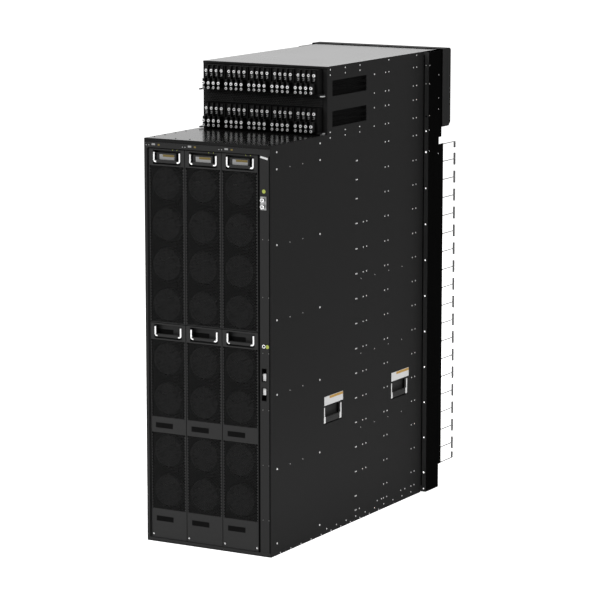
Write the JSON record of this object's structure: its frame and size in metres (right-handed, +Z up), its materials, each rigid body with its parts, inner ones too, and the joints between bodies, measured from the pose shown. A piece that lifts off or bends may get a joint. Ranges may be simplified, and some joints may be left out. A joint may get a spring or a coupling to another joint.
{
  "type": "ethernet router",
  "caption": "Tall rack-mount modular router chassis with slide-out fan trays, side lift handles, power inlet terminals, card cage and cable fingers.",
  "frame": {"origin": "centre of the base panel's underside", "axes": "+Z up, -Y towards the fan side, +X to the right as seen from the fan side"},
  "size_m": [0.4872, 1.187, 1.4593],
  "materials": {
    "shell_paint": "satin black paint",
    "cover_paint": "semi-gloss black paint",
    "hood_paint": "satin black paint",
    "ear_paint": "satin black paint",
    "tray_paint": "satin black paint",
    "card_paint": "satin grey paint",
    "zinc_sheet": "zinc plated sheet",
    "supply_paint": "matt black paint",
    "bar_metal": "dark nickel plating",
    "plated_metal": "bright plating",
    "handle_steel": "satin steel with a black grip",
    "inlet_plastic": "matt black moulding",
    "socket_plastic": "matt black moulding",
    "fan_plastic": "matt black moulding",
    "finger_plastic": "grey moulding"
  },
  "bodies": {
    "chassis": {"base_panel": "shell_paint", "left_side_panel": "shell_paint", "right_side_panel": "shell_paint", "step_cover": "cover_paint", "power_cover": "cover_paint", "front_hood": "hood_paint", "left_rack_ear": "ear_paint", "right_rack_ear": "ear_paint", "cable_fingers": "finger_plastic", "fan_bay_frame": "shell_paint", "fan_bay_bulkhead": "shell_paint", "service_strip": "shell_paint", "ground_terminal": "zinc_sheet", "wrist_strap_jack": "plated_metal", "service_sockets": "socket_plastic", "lower_power_inlets": "inlet_plastic", "upper_power_inlets": "inlet_plastic", "terminal_bars": "bar_metal", "power_supplies": "supply_paint", "card_cage": "card_paint"},
    "upper_fan_tray_1": {"upper_fan_tray_1": "tray_paint"},
    "upper_tray_handle_1": {"upper_tray_handle_1": "handle_steel"},
    "upper_rotor_1_1": {"upper_rotor_1_1": "fan_plastic"},
    "upper_rotor_1_2": {"upper_rotor_1_2": "fan_plastic"},
    "upper_rotor_1_3": {"upper_rotor_1_3": "fan_plastic"},
    "upper_rotor_1_4": {"upper_rotor_1_4": "fan_plastic"},
    "upper_fan_tray_2": {"upper_fan_tray_2": "tray_paint"},
    "upper_tray_handle_2": {"upper_tray_handle_2": "handle_steel"},
    "upper_rotor_2_1": {"upper_rotor_2_1": "fan_plastic"},
    "upper_rotor_2_2": {"upper_rotor_2_2": "fan_plastic"},
    "upper_rotor_2_3": {"upper_rotor_2_3": "fan_plastic"},
    "upper_rotor_2_4": {"upper_rotor_2_4": "fan_plastic"},
    "upper_fan_tray_3": {"upper_fan_tray_3": "tray_paint"},
    "upper_tray_handle_3": {"upper_tray_handle_3": "handle_steel"},
    "upper_rotor_3_1": {"upper_rotor_3_1": "fan_plastic"},
    "upper_rotor_3_2": {"upper_rotor_3_2": "fan_plastic"},
    "upper_rotor_3_3": {"upper_rotor_3_3": "fan_plastic"},
    "upper_rotor_3_4": {"upper_rotor_3_4": "fan_plastic"},
    "lower_fan_tray_1": {"lower_fan_tray_1": "tray_paint"},
    "lower_tray_handle_1": {"lower_tray_handle_1": "handle_steel"},
    "lower_rotor_1_1": {"lower_rotor_1_1": "fan_plastic"},
    "lower_rotor_1_2": {"lower_rotor_1_2": "fan_plastic"},
    "lower_rotor_1_3": {"lower_rotor_1_3": "fan_plastic"},
    "lower_rotor_1_4": {"lower_rotor_1_4": "fan_plastic"},
    "lower_fan_tray_2": {"lower_fan_tray_2": "tray_paint"},
    "lower_tray_handle_2": {"lower_tray_handle_2": "handle_steel"},
    "lower_rotor_2_1": {"lower_rotor_2_1": "fan_plastic"},
    "lower_rotor_2_2": {"lower_rotor_2_2": "fan_plastic"},
    "lower_rotor_2_3": {"lower_rotor_2_3": "fan_plastic"},
    "lower_rotor_2_4": {"lower_rotor_2_4": "fan_plastic"},
    "lower_fan_tray_3": {"lower_fan_tray_3": "tray_paint"},
    "lower_tray_handle_3": {"lower_tray_handle_3": "handle_steel"},
    "lower_rotor_3_1": {"lower_rotor_3_1": "fan_plastic"},
    "lower_rotor_3_2": {"lower_rotor_3_2": "fan_plastic"},
    "lower_rotor_3_3": {"lower_rotor_3_3": "fan_plastic"},
    "lower_rotor_3_4": {"lower_rotor_3_4": "fan_plastic"},
    "right_rear_lift_handle": {"right_rear_lift_handle": "handle_steel"},
    "right_front_lift_handle": {"right_front_lift_handle": "handle_steel"},
    "left_rear_lift_handle": {"left_rear_lift_handle": "handle_steel"},
    "left_front_lift_handle": {"left_front_lift_handle": "handle_steel"}
  },
  "joints": [
    {"name": "upper_fan_tray_1_slide", "type": "slide", "parent": "chassis", "child": "upper_fan_tray_1", "axis": [0, -1, 0], "range_m": [0, 0.14]},
    {"name": "upper_tray_handle_1_swing", "type": "hinge", "parent": "upper_fan_tray_1", "child": "upper_tray_handle_1", "pos_m": [-0.1428, -0.484, 1.20915], "axis": [-1, 0, 0], "range_deg": [0, 90]},
    {"name": "upper_rotor_1_1_spin", "type": "hinge", "parent": "upper_fan_tray_1", "child": "upper_rotor_1_1", "pos_m": [-0.1428, -0.4635, 0.74015], "axis": [0, 1, 0], "continuous": true},
    {"name": "upper_rotor_1_2_spin", "type": "hinge", "parent": "upper_fan_tray_1", "child": "upper_rotor_1_2", "pos_m": [-0.1428, -0.4635, 0.86365], "axis": [0, 1, 0], "continuous": true},
    {"name": "upper_rotor_1_3_spin", "type": "hinge", "parent": "upper_fan_tray_1", "child": "upper_rotor_1_3", "pos_m": [-0.1428, -0.4635, 0.98715], "axis": [0, 1, 0], "continuous": true},
    {"name": "upper_rotor_1_4_spin", "type": "hinge", "parent": "upper_fan_tray_1", "child": "upper_rotor_1_4", "pos_m": [-0.1428, -0.4635, 1.11065], "axis": [0, 1, 0], "continuous": true},
    {"name": "upper_fan_tray_2_slide", "type": "slide", "parent": "chassis", "child": "upper_fan_tray_2", "axis": [0, -1, 0], "range_m": [0, 0.14]},
    {"name": "upper_tray_handle_2_swing", "type": "hinge", "parent": "upper_fan_tray_2", "child": "upper_tray_handle_2", "pos_m": [-0.0144, -0.484, 1.20915], "axis": [-1, 0, 0], "range_deg": [0, 90]},
    {"name": "upper_rotor_2_1_spin", "type": "hinge", "parent": "upper_fan_tray_2", "child": "upper_rotor_2_1", "pos_m": [-0.0144, -0.4635, 0.74015], "axis": [0, 1, 0], "continuous": true},
    {"name": "upper_rotor_2_2_spin", "type": "hinge", "parent": "upper_fan_tray_2", "child": "upper_rotor_2_2", "pos_m": [-0.0144, -0.4635, 0.86365], "axis": [0, 1, 0], "continuous": true},
    {"name": "upper_rotor_2_3_spin", "type": "hinge", "parent": "upper_fan_tray_2", "child": "upper_rotor_2_3", "pos_m": [-0.0144, -0.4635, 0.98715], "axis": [0, 1, 0], "continuous": true},
    {"name": "upper_rotor_2_4_spin", "type": "hinge", "parent": "upper_fan_tray_2", "child": "upper_rotor_2_4", "pos_m": [-0.0144, -0.4635, 1.11065], "axis": [0, 1, 0], "continuous": true},
    {"name": "upper_fan_tray_3_slide", "type": "slide", "parent": "chassis", "child": "upper_fan_tray_3", "axis": [0, -1, 0], "range_m": [0, 0.14]},
    {"name": "upper_tray_handle_3_swing", "type": "hinge", "parent": "upper_fan_tray_3", "child": "upper_tray_handle_3", "pos_m": [0.114, -0.484, 1.20915], "axis": [-1, 0, 0], "range_deg": [0, 90]},
    {"name": "upper_rotor_3_1_spin", "type": "hinge", "parent": "upper_fan_tray_3", "child": "upper_rotor_3_1", "pos_m": [0.114, -0.4635, 0.74015], "axis": [0, 1, 0], "continuous": true},
    {"name": "upper_rotor_3_2_spin", "type": "hinge", "parent": "upper_fan_tray_3", "child": "upper_rotor_3_2", "pos_m": [0.114, -0.4635, 0.86365], "axis": [0, 1, 0], "continuous": true},
    {"name": "upper_rotor_3_3_spin", "type": "hinge", "parent": "upper_fan_tray_3", "child": "upper_rotor_3_3", "pos_m": [0.114, -0.4635, 0.98715], "axis": [0, 1, 0], "continuous": true},
    {"name": "upper_rotor_3_4_spin", "type": "hinge", "parent": "upper_fan_tray_3", "child": "upper_rotor_3_4", "pos_m": [0.114, -0.4635, 1.11065], "axis": [0, 1, 0], "continuous": true},
    {"name": "lower_fan_tray_1_slide", "type": "slide", "parent": "chassis", "child": "lower_fan_tray_1", "axis": [0, -1, 0], "range_m": [0, 0.14]},
    {"name": "lower_tray_handle_1_swing", "type": "hinge", "parent": "lower_fan_tray_1", "child": "lower_tray_handle_1", "pos_m": [-0.1428, -0.484, 0.67505], "axis": [-1, 0, 0], "range_deg": [0, 90]},
    {"name": "lower_rotor_1_1_spin", "type": "hinge", "parent": "lower_fan_tray_1", "child": "lower_rotor_1_1", "pos_m": [-0.1428, -0.4635, 0.1613], "axis": [0, 1, 0], "continuous": true},
    {"name": "lower_rotor_1_2_spin", "type": "hinge", "parent": "lower_fan_tray_1", "child": "lower_rotor_1_2", "pos_m": [-0.1428, -0.4635, 0.2848], "axis": [0, 1, 0], "continuous": true},
    {"name": "lower_rotor_1_3_spin", "type": "hinge", "parent": "lower_fan_tray_1", "child": "lower_rotor_1_3", "pos_m": [-0.1428, -0.4635, 0.4488], "axis": [0, 1, 0], "continuous": true},
    {"name": "lower_rotor_1_4_spin", "type": "hinge", "parent": "lower_fan_tray_1", "child": "lower_rotor_1_4", "pos_m": [-0.1428, -0.4635, 0.5723], "axis": [0, 1, 0], "continuous": true},
    {"name": "lower_fan_tray_2_slide", "type": "slide", "parent": "chassis", "child": "lower_fan_tray_2", "axis": [0, -1, 0], "range_m": [0, 0.14]},
    {"name": "lower_tray_handle_2_swing", "type": "hinge", "parent": "lower_fan_tray_2", "child": "lower_tray_handle_2", "pos_m": [-0.0144, -0.484, 0.67505], "axis": [-1, 0, 0], "range_deg": [0, 90]},
    {"name": "lower_rotor_2_1_spin", "type": "hinge", "parent": "lower_fan_tray_2", "child": "lower_rotor_2_1", "pos_m": [-0.0144, -0.4635, 0.1613], "axis": [0, 1, 0], "continuous": true},
    {"name": "lower_rotor_2_2_spin", "type": "hinge", "parent": "lower_fan_tray_2", "child": "lower_rotor_2_2", "pos_m": [-0.0144, -0.4635, 0.2848], "axis": [0, 1, 0], "continuous": true},
    {"name": "lower_rotor_2_3_spin", "type": "hinge", "parent": "lower_fan_tray_2", "child": "lower_rotor_2_3", "pos_m": [-0.0144, -0.4635, 0.4488], "axis": [0, 1, 0], "continuous": true},
    {"name": "lower_rotor_2_4_spin", "type": "hinge", "parent": "lower_fan_tray_2", "child": "lower_rotor_2_4", "pos_m": [-0.0144, -0.4635, 0.5723], "axis": [0, 1, 0], "continuous": true},
    {"name": "lower_fan_tray_3_slide", "type": "slide", "parent": "chassis", "child": "lower_fan_tray_3", "axis": [0, -1, 0], "range_m": [0, 0.14]},
    {"name": "lower_tray_handle_3_swing", "type": "hinge", "parent": "lower_fan_tray_3", "child": "lower_tray_handle_3", "pos_m": [0.114, -0.484, 0.67505], "axis": [-1, 0, 0], "range_deg": [0, 90]},
    {"name": "lower_rotor_3_1_spin", "type": "hinge", "parent": "lower_fan_tray_3", "child": "lower_rotor_3_1", "pos_m": [0.114, -0.4635, 0.1613], "axis": [0, 1, 0], "continuous": true},
    {"name": "lower_rotor_3_2_spin", "type": "hinge", "parent": "lower_fan_tray_3", "child": "lower_rotor_3_2", "pos_m": [0.114, -0.4635, 0.2848], "axis": [0, 1, 0], "continuous": true},
    {"name": "lower_rotor_3_3_spin", "type": "hinge", "parent": "lower_fan_tray_3", "child": "lower_rotor_3_3", "pos_m": [0.114, -0.4635, 0.4488], "axis": [0, 1, 0], "continuous": true},
    {"name": "lower_rotor_3_4_spin", "type": "hinge", "parent": "lower_fan_tray_3", "child": "lower_rotor_3_4", "pos_m": [0.114, -0.4635, 0.5723], "axis": [0, 1, 0], "continuous": true},
    {"name": "right_rear_lift_handle_swing", "type": "hinge", "parent": "chassis", "child": "right_rear_lift_handle", "pos_m": [0.217, -0.1075, 0.398], "axis": [0, -1, 0], "range_deg": [0, 90]},
    {"name": "right_front_lift_handle_swing", "type": "hinge", "parent": "chassis", "child": "right_front_lift_handle", "pos_m": [0.217, 0.335, 0.398], "axis": [0, -1, 0], "range_deg": [0, 90]},
    {"name": "left_rear_lift_handle_swing", "type": "hinge", "parent": "chassis", "child": "left_rear_lift_handle", "pos_m": [-0.217, -0.1075, 0.398], "axis": [0, 1, 0], "range_deg": [0, 90]},
    {"name": "left_front_lift_handle_swing", "type": "hinge", "parent": "chassis", "child": "left_front_lift_handle", "pos_m": [-0.217, 0.335, 0.398], "axis": [0, 1, 0], "range_deg": [0, 90]}
  ]
}
